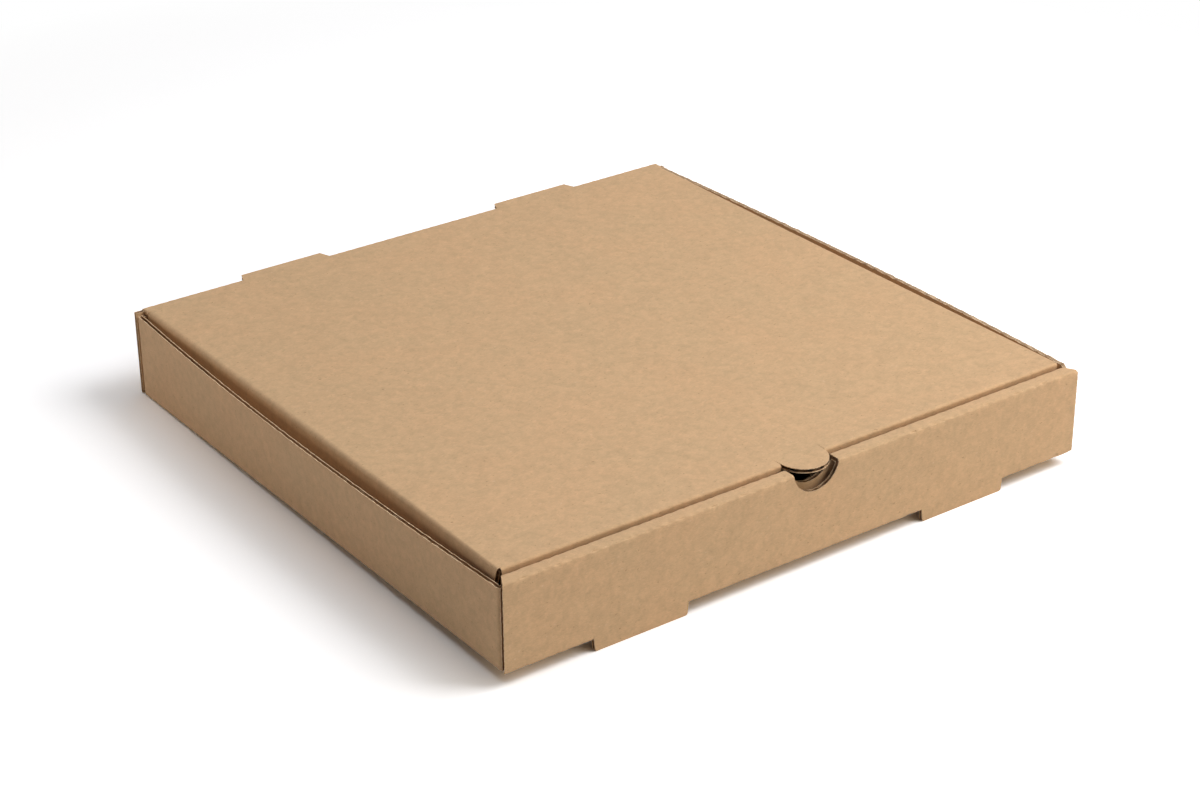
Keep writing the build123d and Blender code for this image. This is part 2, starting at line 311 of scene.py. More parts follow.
# Tray: one path from the top of the rear wall, down, under the base, up the front wall, over the strip
# and down the inner wall, carried along X.
def makeTrayRun():
    sizes = {
        "rearRows": 5, "baseRows": 6, "frontRows": 34, "stripRows": 3, "innerRows": 14, "notchColumns": 47,
        "roundOut": 0.8,
        "foldRoom": 2.7,      # the base is flat up to this far from the walls' faces
        "baseInset": 2.5,     # and its sides end this far inside the side walls' faces
        "wallHead": 47.0,     # the front and the inner wall are straight up to here
        "innerFoot": 8.5,     # lower end of the inner wall between its lock tabs
        "notchTop": 48.5,     # highest rows of the notch's arc in the front and in the inner wall
        "innerNotchTop": 47.3,
        "post": 160.65,       # the rear wall's end posts begin here
        "rightPostDrop": 1.5,
        "fixed": 156.0,       # columns up to here are the same in all rows
        "rowLength": 1.7,     # mean distance of two rows
        "torn": (0.12, 7, 11), "tornShare": 0.6,
        "trim": 0.06,
        # More columns: how far inside a foot's side, and how far from a slot's middle.
        "footColumns": (0.1, 0.35, 0.7, 1.2), "slotColumns": (23.0, 23.35, 23.6, 23.9, 25.4),
        # The dents of the creases: depth, and width in rows.
        "frontDent": (0.56, 2.6), "stripDent": (0.2, 3.0), "footDent": (0.22, 3.2),
        "scallops": (0.75, (0.4, 30, 21), (0.45, 14, 22), (0.25, 9, 23)),
        "flattened": 0.45,    # how much lower the flutes are at a crease
        "phase": 0.9,         # of the flutes
    }
    frontMiddle = front + board / 2
    stripMiddle = sheet["wallTop"] - board / 2
    innerMiddle = stripRear - board / 2
    nodes = [
        (hingeY, creaseFoot), (hingeY, baseMiddle), (rear - sizes["foldRoom"], baseMiddle),
        (front + feet["slotEnd"], baseMiddle), (front + sizes["foldRoom"], baseMiddle),
        (frontMiddle, baseMiddle), (frontMiddle, wallFoot), (frontMiddle, sizes["wallHead"]),
        (frontMiddle, stripMiddle),
        (innerMiddle, stripMiddle), (innerMiddle, sizes["wallHead"]), (innerMiddle, sizes["innerFoot"]),
    ]
    rearFold, baseRear, slotEnd, baseFront, frontFold, frontFoot, frontHead = range(1, 8)
    frontCrease, rearCrease, innerHead = range(8, 11)
    between = [
        sizes["rearRows"], 0, sizes["baseRows"], 1, 0, 0, sizes["frontRows"], 0, sizes["stripRows"], 0,
        sizes["innerRows"],
    ]
    bends = (rearFold, frontFold, frontCrease, rearCrease)
    inner, outer, marks = boardPath(nodes, bends, between, 1, sizes["roundOut"])
    rowCount = len(inner)
    row = np.arange(rowCount)[:, None]
    first = lambda k: marks[k][0]
    last = lambda k: marks[k][1]

    footSides = beside(feet["middles"], feet["half"])
    lockSides = beside(feet["middles"], lockTabs["half"])
    notchSides = beside([notch["x"]], notch["edge"])
    posts = beside([0.0], sizes["post"])
    x = columnsFor(half, [
        cutColumns(np.concatenate([footSides, lockSides, notchSides, posts])),
        beside(feet["middles"], feet["half"] - hair - np.array(sizes["footColumns"])),
        beside(rearTabs["middles"], sizes["slotColumns"]),
        arcColumns(notch["x"], notch["edge"] - hair, sizes["notchColumns"]),
    ])
    fromFoot = distanceTo(feet["middles"], x)
    footMiddle = np.where(x < 0, *feet["middles"])
    inFoot = fromFoot < feet["half"]
    inLock = fromFoot < lockTabs["half"]
    fromNotch = np.abs(x - notch["x"])
    inNotch = fromNotch < notch["edge"]
    inPost = np.abs(x) > sizes["post"]

    # Heights that change along the box: the rear wall's top with its slots and end posts, the notch's two
    # arcs and the lower ends of the feet and lock tabs.
    fromSlot = distanceTo(rearTabs["middles"], x)
    slotDepth = rearTabs["reach"] + board / 2 + rearTabs["kerf"]
    slotHalf = rearTabs["half"] + rearTabs["kerf"]
    slope = hingeZ - slotDepth * (slotHalf - fromSlot) / rearTabs["slant"]
    rearTop = np.clip(slope, hingeZ - slotDepth, creaseFoot)
    postTop = np.where(x < 0, hingeZ, hingeZ - sizes["rightPostDrop"])
    rearTop = np.where(inPost, postTop, rearTop)
    head = sizes["wallHead"]
    arc = arcRise(notch["radius"], fromNotch)
    outerArc = np.where(inNotch, np.minimum(notch["z"] - arc, sizes["notchTop"]), head)
    innerArc = np.minimum(notch["z"] + notch["innerRise"] - arc, sizes["innerNotchTop"])
    innerArc = np.where(inNotch, innerArc, head)
    footEnd = cornerInset(np.clip(feet["half"] - fromFoot, 0, None), feet["round"])
    lockInset = cornerInset(np.clip(lockTabs["half"] - fromFoot, 0, None), lockTabs["round"])
    lockEnd = np.where(inLock, lockTabs["bottom"] + lockInset, sizes["innerFoot"])

    rearWall = row < first(rearFold)
    frontWall = (row >= last(frontFoot)) & (row <= first(frontHead))
    innerWall = row >= first(innerHead)
    isFoot = (row >= first(frontFold)) & (row <= last(frontFoot)) & inFoot[None]
    torn = wander(row * sizes["rowLength"], *sizes["torn"])
    scallop = scallops(x, *sizes["scallops"])
    # Each crease is dented a little between its flutes: how deep, near which rows, and which way.
    dents = [
        (depth, nearBend(row, marks[crease], width), wayY, wayZ)
        for (depth, width), crease, wayY, wayZ in (
            (sizes["frontDent"], frontCrease, 1, -1),
            (sizes["stripDent"], rearCrease, -1, -1),
            (sizes["footDent"], frontFold, 1, 1),
        )
    ]

    def place(height):
        height = np.broadcast_to(height, (rowCount, len(x)))
        y, z = betweenPaths(inner, outer, height)
        for depth, near, wayY, wayZ in dents:
            dent = depth * scallop[None] * near * height * diagonal
            y, z = y + wayY * dent, z + wayZ * dent
        z = np.where(rearWall, wallFoot + (z - wallFoot) * (rearTop - wallFoot) / (creaseFoot - wallFoot), z)
        z = np.where(frontWall, wallFoot + (z - wallFoot) * (outerArc - wallFoot) / (head - wallFoot), z)
        innerFoot = sizes["innerFoot"]
        z = np.where(innerWall, lockEnd + (z - innerFoot) * (innerArc - lockEnd) / (head - innerFoot), z)
        fall = np.clip((row - first(frontFold)) / (last(frontFoot) - first(frontFold)), 0, 1)
        y = np.where(isFoot, front + board * (1 - height), y)
        z = np.where(isFoot, footEnd + fall * (wallFoot - footEnd), z)
        # Sideways: the ends of every row, the slanted sides of the feet, the notch's sides.
        onBase = (row >= last(baseRear)) & (row <= first(baseFront))
        limit = np.where(onBase, half - sizes["baseInset"], half)
        across = np.clip((y[:, :1] - front) / sheet["stripDepth"], 0, 1)
        limit = np.where(row >= first(frontCrease), half - sheet["stripTaper"] * across, limit)
        limit = np.where(row >= last(rearCrease), half - sheet["stripTaper"], limit)
        limit = limit + np.where(row > last(frontFold), torn, 0) * sizes["tornShare"] - sizes["trim"]
        wide = pullIn(np.broadcast_to(x, z.shape), limit, half, sizes["fixed"])
        bottom = sheet["baseBottom"]
        slant = feet["slant"] / feet["half"] * np.clip((bottom - z) / bottom, 0, 1)
        wide = np.where(isFoot, footMiddle + (x - footMiddle) * (1 - slant), wide)
        side = arcRise(notch["radius"], np.clip(notch["z"] - z, 0.4, None))
        atSide = (np.abs(fromNotch - notch["edge"]) < 1.5 * hair) & ~inNotch
        sideRows = (row >= first(frontCrease)) & (row <= last(rearCrease))
        wide = np.where(atSide[None] & sideRows, notch["x"] + np.sign(x - notch["x"]) * side, wide)
        return np.stack([wide, y, z], -1)

    flutes = fluteHeight(place(0.5)[..., 0], sizes["phase"])
    creased = np.clip(sum(near for depth, near, wayY, wayZ in dents), 0, 1)
    flutes = 0.5 + (flutes - 0.5) * (1 - sizes["flattened"] * creased)

    cell = np.arange(rowCount - 1)[:, None]
    keep = np.ones((rowCount - 1, len(x) - 1), bool)
    keep &= ~((cell >= first(frontHead)) & (cell < first(innerHead)) & (inside(inNotch) | border(inNotch)))
    keep &= ~((cell >= first(slotEnd)) & (cell < first(frontFold)) & inside(inFoot))
    keep &= ~((cell >= first(slotEnd)) & (cell < last(frontFoot)) & border(inFoot))
    keep &= ~((cell >= rowCount - 2) & border(inLock))
    keep &= ~((cell < 1) & border(inPost))
    return boardShells(place, flutes, keep)


# Side wall with its two ears: a plan path round the corners, carried up, and a crease below into the base.
def makeSideWall(side):
    sizes = {
        "ear": 52.0, "earColumns": 8, "columns": 150, "arcColumns": 10, "rows": 58, "roundOut": 2.5,
        "frontTop": {1: 49.6, -1: 46.4}[side], "rearTop": {1: 48.6, -1: 49.8}[side],
        "bow": {1: 3.4, -1: 4.5}[side], "crushed": {1: 1.0, -1: 0.0}[side],
        "cornerRoom": 0.6,    # the wall's straight run ends this far from the leaves at its ends
        "foldRoom": 2.6,
        "cornerFoot": 6.5,    # lowest point of the round corners
        "bowFoot": 9.5,       # the bow starts at this height
        "bowRoom": 4.0,       # and this far from the wall's ends
        "topRoom": 2.5,       # the cut top comes up to its full height this far behind the strip
        "earDrop": 0.5,       # room between the rear ear and the lid
        "earArc": 4,          # columns of the rear corner that already have the ear's top
        "phase": 2.2,
        "trim": 0.12,
        # Noises of the torn edge: a long and a fine one of the whole board, and one of each paper's own.
        "torn": (0.1, 8, 31 + side), "tornFine": (0.06, 3, 33), "ragged": (0.1, 5), "raggedSeed": 40 + side,
    }
    leaf = board + sheet["leafGap"]
    wallX = half - board / 2
    frontY, rearY = front + leaf + board / 2, rear - leaf - board / 2
    wallStart = front + leaf + board + sizes["cornerRoom"]
    wallEnd = rear - leaf - board - sizes["cornerRoom"]
    tip = half - sizes["ear"]
    plan = [
        (tip, rearY), (wallX, rearY), (wallX, wallEnd), (wallX, wallStart), (wallX, frontY), (tip, frontY),
    ]
    rearCorner, rearEnd, frontEnd, frontCorner = range(1, 5)
    between = [sizes["earColumns"], 0, sizes["columns"], 0, sizes["earColumns"]]
    bends = (rearCorner, frontCorner)
    inner, outer, marks = boardPath(plan, bends, between, 1, sizes["roundOut"], sizes["arcColumns"])
    rise = [(half - sizes["foldRoom"], baseMiddle), (wallX, baseMiddle), (wallX, wallFoot)]
    lowInner, lowOuter = boardPath(rise, (1,), [0, 0], -1)[:2]
    lowRows = len(lowInner)
    climb = np.linspace(0, 1, sizes["rows"])[1:, None]
    rowCount = lowRows + len(climb)
    row = np.arange(rowCount)[:, None]
    column = np.arange(len(inner))
    planY = (inner[:, 1] + outer[:, 1]) / 2
    onWall = (column >= marks[rearEnd][0]) & (column <= marks[frontEnd][1])
    atCorner = (column >= marks[rearCorner][0]) & (column <= marks[frontCorner][1]) & ~onWall

    # The cut top slopes from the front to the rear and stays below the strip at the front corner.
    corner = min(sizes["frontTop"], sheet["wallTop"] - leaf)
    tops = [corner, corner, sizes["frontTop"], sizes["rearTop"]]
    top = np.interp(planY, [front, stripRear, stripRear + sizes["topRoom"], rear], tops)
    onEar = column <= marks[rearCorner][1] - sizes["earArc"]
    top = np.where(onEar, sheet["lidTop"] - board - sizes["earDrop"], top)
    start, end = wallStart + sizes["bowRoom"], wallEnd - sizes["bowRoom"]
    bow = sizes["bow"] * np.clip(1 - ((planY - (start + end) / 2) / ((end - start) / 2)) ** 2, 0, None)
    bow = np.where(onWall, bow, 0)
    torn = wander(planY, *sizes["torn"]) + wander(planY, *sizes["tornFine"])

    # Each face paper and the fluting have a torn edge of their own, seeded by the mean height.
    def place(height):
        height = np.broadcast_to(height, (rowCount, len(inner)))
        ragged = torn + wander(planY, *sizes["ragged"], sizes["raggedSeed"] + int(10 * height.mean()))
        ragged = np.where(onWall, ragged - sizes["trim"], 0)
        px, py = (inner[None, :, k] * (1 - height) + outer[None, :, k] * height for k in (0, 1))
        lifted = np.concatenate([np.zeros((lowRows, 1)), climb])
        z = wallFoot + lifted * (top + ragged - wallFoot)
        lowX, lowZ = betweenPaths(lowInner, lowOuter, height[:lowRows])
        px = np.concatenate([np.where(onWall, lowX, px[:lowRows]), px[lowRows:]])
        lowZ = np.where(atCorner, np.linspace(sizes["cornerFoot"], wallFoot, lowRows)[:, None], lowZ)
        z = np.concatenate([np.where(onWall | atCorner, lowZ, z[:lowRows]), z[lowRows:]])
        foot = sizes["bowFoot"]
        px = px + bow * np.clip((z - foot) / (sheet["wallTop"] - foot), 0, None)
        return np.stack([side * px, py, z], -1)

    flutes = fluteHeight(place(0.5)[..., 2], sizes["phase"])
    cell = np.arange(rowCount - 1)[:, None]
    inFold = inside((column >= marks[rearCorner][0]) & (column <= marks[frontCorner][1]))
    keep = (cell >= lowRows - 1) | inFold
    return boardShells(place, flutes, keep, (row == rowCount - 1) * sizes["crushed"])


# Lid: a path from the rear tabs forward, over the front fold and down the tuck flap, carried along X.
def makeLidRun():
    sizes = {
        "panelRows": 26, "flapRows": 26, "tongueColumns": 61,
        "tongueStart": 6.0,   # the tongue leaves the panel this far behind the front fold's face
        "foldRoom": 2.6,
        "foldHalf": 159.6,    # half length of the front fold
        "tuckLean": 1.2, "tuckTaper": 4.0, "tuckRound": 6.0,
        "tuckHead": 48.4,     # the tuck flap is straight below this
        "holeTop": 48.6,      # highest row of the hole that the tongue leaves
        "fixed": 140.0,       # columns up to here are the same in all rows
        "tabColumns": (22.0, 22.4, 22.8, 23.2, 23.6, 25.4),   # more columns, this far from a tab's middle
        "dent": 0.22, "dentRows": 3.2,
        "scallops": (0.7, (0.35, 34, 51), (0.4, 16, 52), (0.2, 9, 53)),
        "flattened": 0.45,    # how much lower the flutes are at the fold
        "phase": 0.4,
    }
    lidFront, low, head = sheet["lidFront"], sheet["flapBottom"], sizes["tuckHead"]
    foldY = lidFront + board / 2
    nodes = [
        (creaseEnd, hingeZ), (sheet["flapRear"], hingeZ), (lidFront + sizes["tongueStart"], hingeZ),
        (lidFront + sizes["foldRoom"], hingeZ), (foldY, hingeZ),
        (foldY + 0.1, head), (foldY + sizes["tuckLean"], low),
    ]
    panelRear, tongueStart, foldStart, fold, tuckHead = range(1, 6)
    between = [1, sizes["panelRows"], 1, 0, 0, sizes["flapRows"]]
    inner, outer, marks = boardPath(nodes, (fold,), between, -1)
    rowCount = len(inner)
    row = np.arange(rowCount)[:, None]
    first = lambda k: marks[k][0]
    last = lambda k: marks[k][1]
    reach = sheet["lidHalf"]
    radius, kerf = tongue["radius"], tongue["kerf"]
    tongueHalf = radius + kerf / 2
    x = columnsFor(reach, [
        cutColumns(beside([tongue["x"]], tongueHalf)),
        cutColumns(beside(rearTabs["middles"], rearTabs["half"])),
        arcColumns(tongue["x"], radius + 0.1, sizes["tongueColumns"]),
        beside(rearTabs["middles"], sizes["tabColumns"]),
    ])
    fromTongue = np.abs(x - tongue["x"])
    inTongue = fromTongue < tongueHalf
    fromTab = distanceTo(rearTabs["middles"], x)
    inTab = fromTab < rearTabs["half"]

    # The tabs' rear edge, their slanted sides and round corners, as one line of Y over X.
    tabLength = rearTabs["reach"] + board / 2
    slanted = hingeY + tabLength * np.clip((rearTabs["half"] - fromTab) / rearTabs["slant"], 0, 1)
    fromCorner = rearTabs["half"] - rearTabs["slant"] - fromTab
    cornerRound = rearTabs["round"]
    cornerIn = np.clip(cornerRound - fromCorner, 0, cornerRound)
    tabEdge = np.where(inTab, slanted, creaseEnd)
    tabEdge = tabEdge - np.where(fromCorner > 0, cornerInset(cornerRound - cornerIn, cornerRound), 0)
    tongueArc = tongue["y"] - arcRise(radius, fromTongue)
    holeArc = np.minimum(hingeZ - arcRise(radius + kerf, fromTongue), sizes["holeTop"])
    holeArc = np.where(inTongue, holeArc, head)
    scallop = scallops(x, *sizes["scallops"]) * ~inTongue
    nearFold = nearBend(row, marks[fold], sizes["dentRows"])
    onTongue = (row > last(tongueStart)) & (row <= first(foldStart)) & inTongue

    def place(height):
        height = np.broadcast_to(height, (rowCount, len(x)))
        y, z = betweenPaths(inner, outer, height)
        dent = sizes["dent"] * scallop[None] * nearFold * height * diagonal
        y, z = y + dent, z - dent
        tabY = creaseEnd + (tabEdge - creaseEnd) * (1 - row / first(panelRear)) * inTab
        y = np.where(row < first(panelRear), tabY, y)
        y = np.where(onTongue, tongueArc, y)
        z = np.where(row >= first(tuckHead), low + (z - low) * (holeArc - low) / (head - low), z)
        limit = np.full((rowCount, 1), sheet["lidSeam"])
        depth = np.clip((sheet["lidTop"] - z[:, :1]) / (sheet["lidTop"] - low), 0, 1)
        inset = sizes["tuckTaper"] * depth + cornerInset(np.clip(z[:, :1] - low, 0, None), sizes["tuckRound"])
        limit = np.where(row > first(fold), sizes["foldHalf"] - inset, limit)
        wide = pullIn(np.broadcast_to(x, z.shape), limit, reach, sizes["fixed"])
        narrow = tongue["x"] + (x - tongue["x"]) * radius / (tongueHalf - hair)
        wide = np.where(onTongue, narrow, wide)
        return np.stack([wide, y, z], -1)

    flutes = fluteHeight(place(0.5)[..., 0], sizes["phase"])
    flutes = 0.5 + (flutes - 0.5) * (1 - sizes["flattened"] * nearFold)
    cell = np.arange(rowCount - 1)[:, None]
    keep = np.ones((rowCount - 1, len(x) - 1), bool)
    keep &= ~((cell >= first(foldStart)) & (cell < first(tuckHead)) & inside(inTongue))
    keep &= ~((cell >= first(tongueStart)) & (cell < first(tuckHead)) & border(inTongue))
    keep &= ~((cell < first(panelRear)) & border(inTab))
    return boardShells(place, flutes, keep)


# Side flap of the lid: the fold and the flap below it, carried along Y between slanted, rounded ends.
# Behind the flap the fold goes on alone to the hinge's crease.
def makeLidFlap(side):
    sizes = {
        "splay": 1.2, "taper": 10.0, "round": 6.0, "columns": 120, "rows": 50, "arcRows": 12,
        "foldRound": 2.8, "frontRound": {1: 2.0, -1: 1.2}[side], "frontShift": {1: 0.2, -1: 0.9}[side],
        "shiftLength": 70.0, "shiftPower": 1.5,
        # The fold is tighter before the first share of its length, over the second one, by a power.
        "tighter": (0.55, 0.5, 1.2),
        "taperFrom": 0.05,    # the ends slant below this share of the flap's depth
        "frontRoom": 1.3,     # from the lid's front face to the flap
        "stubColumns": 3,
        "phase": 1.1 + side,
    }
    foldX = sheet["lidHalf"] - board / 2
    low = sheet["flapBottom"]
    flapDepth = sheet["lidTop"] - low
    nodes = [(sheet["lidSeam"], hingeZ), (foldX, hingeZ), (foldX + sizes["splay"], low)]
    run = [0, sizes["rows"]]
    inner, outer = boardPath(nodes, (1,), run, 1, sizes["foldRound"], sizes["arcRows"])[:2]
    tight = boardPath(nodes, (1,), run, 1, sizes["frontRound"], sizes["arcRows"])[1]
    rowCount = len(inner)
    row = np.arange(rowCount)[:, None]
    share = np.linspace(0, 1, sizes["columns"])[None]
    start = sheet["lidFront"] + sizes["frontRoom"]
    end = sheet["flapRear"]
    # The fold is tighter towards the front and stands out a little there.
    tightEnd, tightLength, tightPower = sizes["tighter"]
    tighter = np.clip((tightEnd - share) / tightLength, 0, 1) ** tightPower
    shiftShare = np.clip((sizes["shiftLength"] - share * (end - start)) / sizes["shiftLength"], 0, 1)
    shift = sizes["frontShift"] * shiftShare ** sizes["shiftPower"]

    def place(height):
        height = np.broadcast_to(height, (rowCount, sizes["columns"]))
        faceX, faceZ = betweenPaths(outer, tight, tighter)
        px = inner[:, :1] * (1 - height) + faceX * height
        z = inner[:, 1:] * (1 - height) + faceZ * height
        level = (inner[:, 1:] + outer[:, 1:]) / 2
        depth = np.clip((sheet["lidTop"] - level) / flapDepth, 0, 1)
        px = px + shift * (1 - depth) * (row > 0)
        inset = sizes["taper"] * np.clip(depth - sizes["taperFrom"], 0, None) / (1 - sizes["taperFrom"])
        inset = inset + cornerInset(np.clip(level - low, 0, None), sizes["round"])
        y = (start + inset) * (1 - share) + (end - inset) * share
        return np.stack([side * px, np.broadcast_to(y, z.shape), z], -1)

    flutes = fluteHeight(row * (flapDepth / sizes["rows"]), sizes["phase"])
    flutes = np.broadcast_to(flutes, (rowCount, sizes["columns"]))
    flap = boardShells(place, flutes, np.ones((rowCount - 1, sizes["columns"] - 1), bool))

    # The stub has the rows of the fold that lie above the board's lower face.
    stubRows = int((outer[:, 1] > sheet["lidTop"] - board).sum())
    stubY = np.linspace(end, creaseEnd, sizes["stubColumns"])[None]

    def placeStub(height):
        height = np.broadcast_to(height, (stubRows, sizes["stubColumns"]))
        px, z = betweenPaths(inner[:stubRows], outer[:stubRows], height)
        return np.stack([side * px, np.broadcast_to(stubY, z.shape), z], -1)

    stub = boardShells(placeStub, 0.5, np.ones((stubRows - 1, sizes["stubColumns"] - 1), bool))
    return {layer: [flap[layer], stub[layer]] for layer in flap}


# Hinge crease: the top of the rear wall turning into the lid, in the three stretches beside the tabs.
def makeHingeCrease():
    sizes = {
        "rows": 6, "arcRows": 15, "gap": 0.05, "columnStep": 1.1, "dent": 0.18, "dentRows": 5.0,
        "drift": (0.7, 30, 61),
        "endRound": 1.0,      # the lid's side folds begin as round as this
        "endColumns": (0.1, 0.3, 0.7, 1.2, 2.0, 2.8),   # more columns, this far from the lid's sides
    }
    nodes = [(hingeY, creaseFoot), (hingeY, hingeZ), (creaseEnd, hingeZ)]
    run = [sizes["rows"], sizes["rows"]]
    inner, outer, marks = boardPath(nodes, (1,), run, -1, board / 2, sizes["arcRows"])
    lidHalf = sheet["lidHalf"]
    slotEdge = rearTabs["half"] + sizes["gap"]
    left, right = rearTabs["middles"]
    reach = lidHalf - sizes["gap"]
    stretches = ((-reach, left - slotEdge), (left + slotEdge, right - slotEdge), (right + slotEdge, reach))
    near = nearBend(np.arange(len(inner))[:, None], marks[1], sizes["dentRows"])
    ends = beside([0.0], lidHalf - np.array(sizes["endColumns"]))
    shells = []
    for low, high in stretches:
        x = np.union1d(np.linspace(low, high, int((high - low) / sizes["columnStep"])), ends)
        x = x[(x >= low) & (x <= high)]
        cover = sheet["lidTop"] - cornerInset(lidHalf - np.abs(x), sizes["endRound"])
        scallop = 0.5 - 0.5 * np.cos(2 * np.pi * x / sheet["flute"] + wander(x, *sizes["drift"]))

        def place(height):
            y, z = betweenPaths(inner, outer, height)
            dent = sizes["dent"] * scallop[None] * near * height * diagonal
            y, z = y - dent, z - dent
            z = np.minimum(z, np.maximum(cover, sheet["lidTop"] - board + 0.05 * height))
            return np.stack([np.broadcast_to(x, y.shape), y, z], -1)

        keep = np.ones((len(inner) - 1, len(x) - 1), bool)
        shells.append(shellBetween(place(1.0), place(0.0), keep))
    return shells


# A wire wraps one socket, so that maths on wires adds Math nodes.
class Wire:
    def __init__(self, shader, socket):
        self.shader = shader
        self.socket = socket

    def maths(self, operation, *values):
        return self.shader.node("ShaderNodeMath", {"operation": operation}, values)

    def __add__(self, other):
        return self.maths("ADD", self, other)

    def __radd__(self, other):
        return self.maths("ADD", other, self)

    def __sub__(self, other):
        return self.maths("SUBTRACT", self, other)

    def __mul__(self, other):
        return self.maths("MULTIPLY", self, other)


class Shader:
    def __init__(self, name):
        self.material = bpy.data.materials.new(name)
        self.material.use_nodes = True
        self.tree = self.material.node_tree
        self.tree.nodes.clear()

    # Adds any node: its settings first, then the values or wires of its sockets, by place or by name.
    def node(self, kind, settings=None, sockets=(), result=0):
        made = self.tree.nodes.new(kind)
        for key, value in (settings or {}).items():
            setattr(made, key, value)
        pairs = sockets.items() if isinstance(sockets, dict) else enumerate(sockets)
        for key, value in pairs:
            if isinstance(value, Wire):
                self.tree.links.new(value.socket, made.inputs[key])
            else:
                made.inputs[key].default_value = value
        return Wire(self, made.outputs[result]) if len(made.outputs) else made

    def mix(self, factor, first, second, blend="MIX"):
        settings = {"data_type": "RGBA", "blend_type": blend}
        return self.node("ShaderNodeMix", settings, {0: factor, 6: first, 7: second}, 2)

    def noise(self, where, scale, detail=2.0, rough=0.5, distortion=0.0):
        values = {"Vector": where, "Scale": scale, "Detail": detail, "Roughness": rough}
        return self.node("ShaderNodeTexNoise", {}, values | {"Distortion": distortion})

    # A value moved from one range to 0..1, held at both ends.
    def between(self, value, low, high):
        return self.node("ShaderNodeMapRange", {"clamp": True}, [value, low, high, 0.0, 1.0])

    def finish(self, surface):
        self.node("ShaderNodeOutputMaterial", {}, [surface])
        return self.material


# A colour given in display values from 0 to 255, as the shader's linear colour.
def linear(red, green, blue):
    shade = np.array([red, green, blue]) / 255
    value = np.where(shade <= 0.04045, shade / 12.92, ((shade + 0.055) / 1.055) ** 2.4)
    return (*value.tolist(), 1.0)


kraft = {
    "paper": (206, 171, 130),
    "fluting": (124, 88, 56),
    "warm": (211, 168, 126),     # colour of the slow clouds
    "pale": (226, 198, 163),     # flecks
    "dark": (150, 112, 74),
    "roughness": 0.82,
    # Patterns: waves in a metre, detail, roughness and distortion.
    "clouds": (28.0, 3.0, 0.55),
    "mottle": (240.0, 4.0, 0.62, 0.4),
    "cutGrain": (900.0, 3.0, 0.7, 0.5),
    "cutPatches": (160.0, 2.0, 0.5),
    # Patterns drawn out in one direction: its turn, waves in a metre along and across it, then as above.
    "fibreA": ((0.3, 0.2, 0.5), 620.0, 2100.0, 2.0, 0.6, 0.6),
    "fibreB": ((0.5, -0.4, 1.9), 560.0, 1900.0, 2.0, 0.6, 0.6),
    "darkFlecks": ((0.1, 0.7, 1.1), 520.0, 900.0, 1.0, 0.5),
    "paleFlecks": ((0.9, 0.1, 0.4), 600.0, 1000.0, 1.0, 0.5),
    # How much each pattern changes the tone, and how much of a colour it mixes in.
    "mottleTone": 0.44, "fibreToneA": 0.26, "fibreToneB": 0.22, "cloudTone": 0.08,
    "warmShare": 0.3, "darkShare": 0.55, "paleShare": 0.45, "cutPaleShare": 0.6,
    # The range of a pattern over which it goes from nothing to all of its colour.
    "warmRange": (0.35, 0.65), "darkRange": (0.71, 0.79), "paleRange": (0.70, 0.80),
    "cutRange": (0.42, 0.66), "cutPaleRange": (0.55, 0.72),
    # The relief: its strength, its height in metres, and the parts of the mottling and of each fibre.
    "bump": 0.5, "relief": 0.00012, "mottleRelief": 0.7, "fibreRelief": 0.5,
    # Cut rims: the colour of the torn fibres and of the pits between them.
    "linerCut": ((236, 208, 172), (188, 148, 106)),
    # The fluting's rim: partly the darker brown of the fluting paper, partly painted shade of the open flute
    # channels, darkest in its pits.
    "flutingCutAndShade": ((112, 78, 48), (66, 42, 24)),
    # The crushed rim: partly the crushed fluting's own colour, partly painted light, paler than the fluting
    # so that the right wall's cut top looks lit.
    "crushedCutAndLight": ((180, 154, 126), (138, 110, 82)),
}


# Kraft paper: a base colour with slow clouds, fine mottling, short fibres in two directions, and sparse
# dark and pale flecks. The relief is the mottling and the fibres. Scales are waves in a metre.
def kraftPaper(name, paper, contrast=1.0):
    s = Shader(name)
    where = s.node("ShaderNodeTexCoord", {}, (), "Object")

    # Noise drawn out in one direction: turned, then scaled along it and across it.
    def drawnOut(turn, along, across, *shape):
        values = {"Vector": where, "Rotation": turn, "Scale": (along, across, across)}
        return s.noise(s.node("ShaderNodeMapping", {}, values), 1.0, *shape)

    clouds = s.noise(where, *kraft["clouds"])
    mottle = s.noise(where, *kraft["mottle"])
    fibreA = drawnOut(*kraft["fibreA"])
    fibreB = drawnOut(*kraft["fibreB"])
    darkFlecks = s.between(drawnOut(*kraft["darkFlecks"]), *kraft["darkRange"])
    paleFlecks = s.between(drawnOut(*kraft["paleFlecks"]), *kraft["paleRange"])

    warmth = s.between(clouds, *kraft["warmRange"]) * kraft["warmShare"]
    colour = s.mix(warmth, linear(*paper), linear(*kraft["warm"]))
    tone = 1.0 + (mottle - 0.5) * (kraft["mottleTone"] * contrast)
    tone = tone + (fibreA - 0.5) * (kraft["fibreToneA"] * contrast)
    tone = tone + (fibreB - 0.5) * (kraft["fibreToneB"] * contrast)
    tone = tone + (clouds - 0.5) * (kraft["cloudTone"] * contrast)
    grey = s.node("ShaderNodeCombineColor", {}, [tone, tone, tone])
    colour = s.mix(1.0, colour, grey, "MULTIPLY")
    colour = s.mix(darkFlecks * (kraft["darkShare"] * contrast), colour, linear(*kraft["dark"]))
    colour = s.mix(paleFlecks * (kraft["paleShare"] * contrast), colour, linear(*kraft["pale"]))
    fibres = kraft["fibreRelief"]
    relief = (mottle - 0.5) * kraft["mottleRelief"] + (fibreA - 0.5) * fibres + (fibreB - 0.5) * fibres
    values = {"Strength": kraft["bump"], "Distance": kraft["relief"], "Height": relief}
    surface = s.node("ShaderNodeBsdfPrincipled", {}, {
        "Base Color": colour, "Roughness": kraft["roughness"] + (mottle - 0.5) * 0.1,
        "Specular IOR Level": 0.28, "Sheen Weight": 0.08, "Sheen Roughness": 0.6,
        "Normal": s.node("ShaderNodeBump", {}, values),
    })
    return s.finish(surface)


